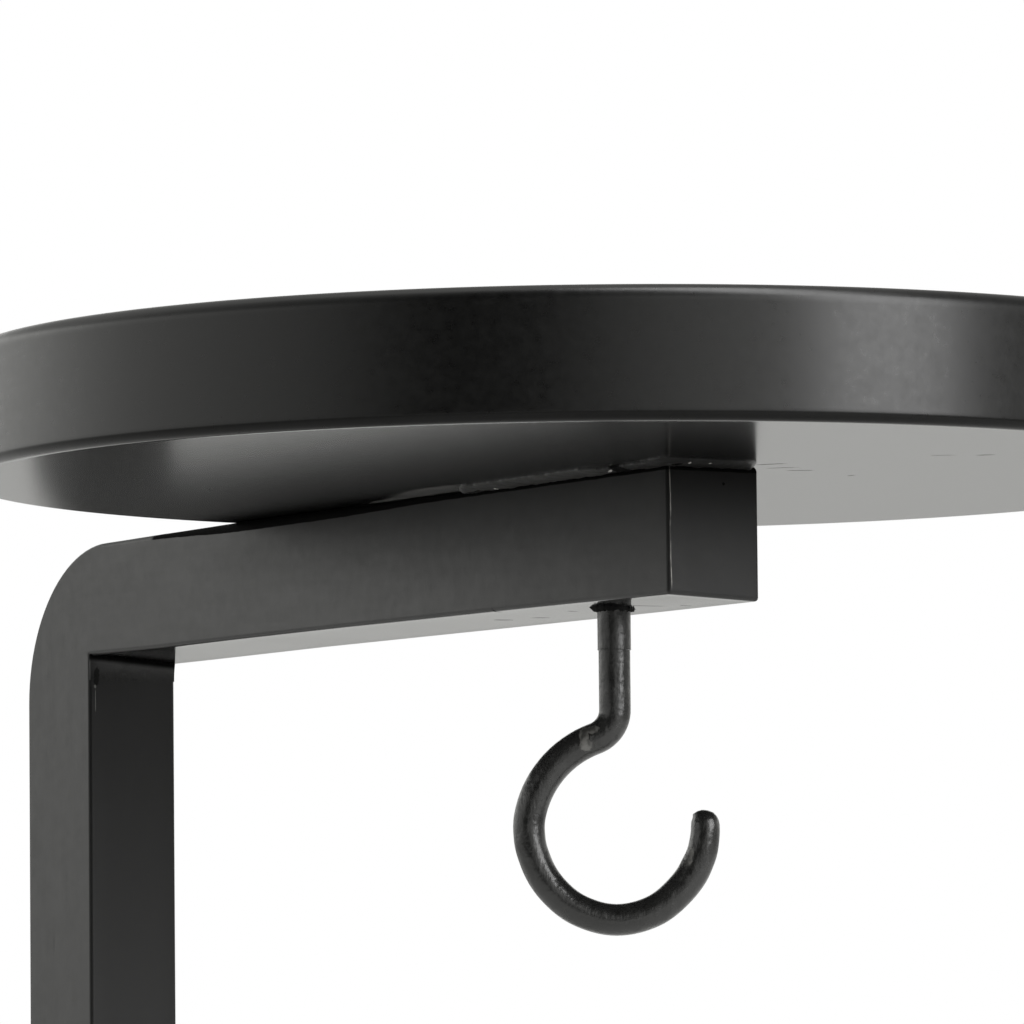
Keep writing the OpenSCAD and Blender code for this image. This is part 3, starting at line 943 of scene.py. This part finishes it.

# A painted shade darkens the corner along its skew line, and a soft dark blob is
# painted there too; the sheen is taken off, most at the bottom, a painted shade
# that goes on from the leg's front
tree = wiped_filler.node_tree
at = xyz(tree, place_of(tree))
line_height = math_node(tree, "MULTIPLY_ADD", at["X"], -0.069, 0.0453)
from_line = math_node(tree, "ABSOLUTE", math_node(tree, "SUBTRACT", at["Z"], line_height))
corner_line_shade = band_node(tree, from_line, 0.0002, 0.0018, 1.0, 0.0)
corner_dark_blob = math_node(tree, "MULTIPLY", marks(tree, [((-8.8, -26.6, 42.0), 0, (0.8, 2, 1.7))]), 0.7)
corner_sheen_shade = band_node(tree, at["Z"], 0.0406, 0.0440, 0.5, 0.2)
turn_dull(tree, math_node(tree, "MAXIMUM", corner_line_shade, corner_dark_blob), corner_sheen_shade)

start_piece()
bpy.ops.mesh.primitive_cube_add(size=1)
bpy.ops.transform.resize(value=(0.0206, 0.0012, 0.0046))
bpy.ops.transform.translate(value=(0, leg_front, arm_under - 0.0018))
wiped = take_place()
cut_rings("Z", [arm_under - 0.0036 + 0.0005 * step for step in range(8)])
cut_rings("X", [-0.0098 + 0.00104 * step for step in range(20)])
wiped_high = 0.0041
mesh = bmesh.from_edit_mesh(wiped.data)
for vert in mesh.verts:
    up = min(1, max(0, (vert.co.z - (arm_under - wiped_high)) / wiped_high))
    across = (vert.co.x + bar_half) / (2 * bar_half)
    if vert.co.y < leg_front:
        lump = noise.noise(vert.co * 420)
        fade = (1 - 0.55 * across) * min(1, max(0, (vert.co.x + 0.0103) / 0.0016))
        vert.co.y = leg_front - fade * (0.00002 + 0.00095 * up ** 2.2) - 0.00010 * lump * up
        vert.co.z += 0.0004 * noise.noise(vert.co * 260 + Vector((5, 5, 5))) * (1 - up)
    rise, drop = skew_at(leg_front)
    vert.co.z += (rise - across * (rise + drop)) * up
bmesh.update_edit_mesh(wiped.data)
finish_piece(wiped, "corner_filler", wiped_filler, smooth=50, flats=False)


# Keyhole plates
# Two plates of zinc-plated steel, 40 by 16 mm, let in flush with the leg's
# back. Each hangs on a wall screw by its slot and hides the pocket behind it.
def metal(name, grey, rough, relief):
    """Stamped or turned steel with a thin bright plating, a little scratched."""
    material, tree, shader = new_material(name)
    shader.inputs["Metallic"].default_value = 1
    cloud = noise_node(tree, place_of(tree), 260, 4, Roughness=0.6)
    lengthened = vector_node(tree, "MULTIPLY", place_of(tree), (2400, 300, 90))
    scratches = noise_node(tree, lengthened, 1, 3, Roughness=0.7)
    deep = (grey * 0.80, grey * 0.80, grey * 0.79, 1)
    pale = (grey * 1.12, grey * 1.12, grey * 1.14, 1)
    feed(tree, blend_node(tree, band_node(tree, cloud, 0.3, 0.7), deep, pale), shader.inputs["Base Color"])
    dull = math_node(tree, "MULTIPLY_ADD", scratches, 0.22, rough - 0.08)
    crystals = cells_node(tree, place_of(tree), 900)
    dull = math_node(tree, "MULTIPLY_ADD", crystals, 0.08, dull, clamp=True)
    feed(tree, dull, shader.inputs["Roughness"])
    height = math_node(tree, "ADD", scratches, cloud)
    feed(tree, bump_node(tree, height, 0.3, relief), shader.inputs["Normal"])
    return material


def finish_node(name, material):
    """Gives a part that the CAD model already shapes rightly its real surface."""
    part = bpy.data.objects[name]
    part.data.materials.clear()
    part.data.materials.append(material)


plate_steel = metal("zinc plated plate", 0.60, 0.34, 0.00006)
for name in ("keyhole_plate_upper", "keyhole_plate_lower"):
    finish_node(name, plate_steel)


# Plate screws
# Four small countersunk wood screws with cross recesses, flush in the plates.
# They are plated steel as well, a shade darker and smoother.
screw_steel = metal("zinc plated screw", 0.52, 0.30, 0.00003)
for plate in ("upper", "lower"):
    for end in ("top", "bottom"):
        finish_node(f"plate_screw_{plate}_{end}", screw_steel)


# Dowels
# Beech dowels with chamfered ends, glued into the mitre and between arm and
# shelf. They are hidden once the rack is put together.
beech, tree, shader = new_material("beech dowel")
along_dowel = vector_node(tree, "MULTIPLY", place_of(tree), (1500, 1500, 180))
fibre = noise_node(tree, along_dowel, 1, 4, Roughness=0.65)
streaks = band_node(tree, fibre, 0.3, 0.7)
tint = blend_node(tree, streaks, (0.36, 0.22, 0.115, 1), (0.55, 0.38, 0.22, 1))
feed(tree, tint, shader.inputs["Base Color"])
feed(tree, math_node(tree, "MULTIPLY_ADD", fibre, 0.2, 0.5), shader.inputs["Roughness"])
feed(tree, bump_node(tree, fibre, 0.4, 0.0001), shader.inputs["Normal"])
for name in ("corner_dowel_left", "corner_dowel_right"):
    finish_node(name, beech)
for name in ("shelf_dowel_rear", "shelf_dowel_middle", "shelf_dowel_front"):
    finish_node(name, beech)


# Floor, light and surroundings
# A pale floor lies under the leg's foot. Two softboxes light the rack from the
# camera's right and from above, and a lamp behind it the floor. The room is
# brighter or darker by bearing and height, and white behind the rack.
start_piece()
bpy.ops.mesh.primitive_circle_add(vertices=96, radius=3.0, fill_type="NGON", location=(0, 0, leg_foot))
floor = take_place()
bpy.ops.object.mode_set(mode="OBJECT")
floor.name = "floor"
floor_paint, tree, shader = new_material("floor")
shader.inputs["Base Color"].default_value = (0.80, 0.80, 0.79, 1)
shader.inputs["Roughness"].default_value = 0.9
floor.data.materials.append(floor_paint)


def softbox(name, azimuth, elevation, distance, size, power):
    """A square lamp that looks at the middle of the shelf's front from that side."""
    aim = Vector((0, -0.2, 0.05))
    azimuth, elevation = math.radians(azimuth), math.radians(elevation)
    level = math.cos(elevation)
    side = Vector((level * math.cos(azimuth), level * math.sin(azimuth), math.sin(elevation)))
    bpy.ops.object.light_add(type="AREA", location=aim + distance * side)
    lamp = bpy.context.object
    lamp.name = name
    lamp.data.shape = "RECTANGLE"
    lamp.data.size, lamp.data.size_y = size
    lamp.data.energy = power
    lamp.rotation_euler = side.to_track_quat("Z", "Y").to_euler()
    return lamp


# The upper softbox only adds gloss, and the floor's lamp isn't mirrored itself
softbox("softbox", 286.5, 21, 1.4, (0.62, 1.0), 11)
softbox("upper softbox", 278, 61, 1.6, (0.65, 1.25), 13).visible_diffuse = False
softbox("lamp over the floor", 57, 42, 2.2, (1.0, 1.0), 34).visible_glossy = False


def ramp_node(tree, place, stops):
    """A colour ramp: each stop is its place from 0 to 1 and its colour."""
    node = tree.nodes.new("ShaderNodeValToRGB")
    feed(tree, place, node.inputs["Fac"])
    while len(node.color_ramp.elements) < len(stops):
        node.color_ramp.elements.new(0.5)
    for element, (position, colour) in zip(node.color_ramp.elements, stops):
        element.position = position
        element.color = colour
    return node.outputs["Color"]


# How bright the room is toward each bearing, in degrees round from +X, and at
# each height, from the floor to the ceiling. It is dark behind the camera, a
# little to its left.
walls = [
    (33, 0.92), (57, 1.01), (90, 1.06), (105, 1.3), (118, 1.48), (130, 1.28), (143, 1.0), (159, 0.86),
    (171, 0.74), (184, 0.6), (193, 0.38), (200, 0.12), (206, 0.0), (222, 0.0), (230, 0.12), (237, 0.42),
    (246, 0.72), (256, 0.95), (267, 1.0), (280, 0.75), (295, 0.50), (310, 0.43), (340, 0.55), (393, 0.95),
]
heights = [
    (-1.0, 0.6), (-0.08, 0.58), (0.02, 0.85), (0.12, 1.15), (0.30, 1.45), (0.42, 0.5), (0.8, 0.5), (1.0, 0.9),
]
first_bearing = walls[0][0]
world = bpy.data.worlds.new("surroundings")
bpy.context.scene.world = world
world.use_nodes = True
tree = world.node_tree
toward = xyz(tree, tree.nodes.new("ShaderNodeTexCoord").outputs["Generated"])
turned = math_node(tree, "ARCTAN2", toward["Y"], toward["X"])
turned = math_node(tree, "MULTIPLY_ADD", turned, 0.5 / math.pi, 1 - first_bearing / 360)
wall_stops = [((bearing - first_bearing) / 360, (level, level, level * 0.97, 1)) for bearing, level in walls]
room = ramp_node(tree, math_node(tree, "FRACT", turned), wall_stops)
height_stops = [(height / 2 + 0.5, (level, level, level, 1)) for height, level in heights]
rise = ramp_node(tree, math_node(tree, "MULTIPLY_ADD", toward["Z"], 0.5, 0.5), height_stops)
lit_room = blend_node(tree, 1.0, room, rise, "MULTIPLY")

# What the camera itself sees behind the rack is white
path = tree.nodes.new("ShaderNodeLightPath").outputs
seen = math_node(tree, "MAXIMUM", path["Is Camera Ray"], path["Is Transmission Ray"])
feed(tree, blend_node(tree, seen, lit_room, (1, 1, 1, 1)), tree.nodes["Background"].inputs["Color"])

bpy.context.scene.view_settings.view_transform = "Standard"
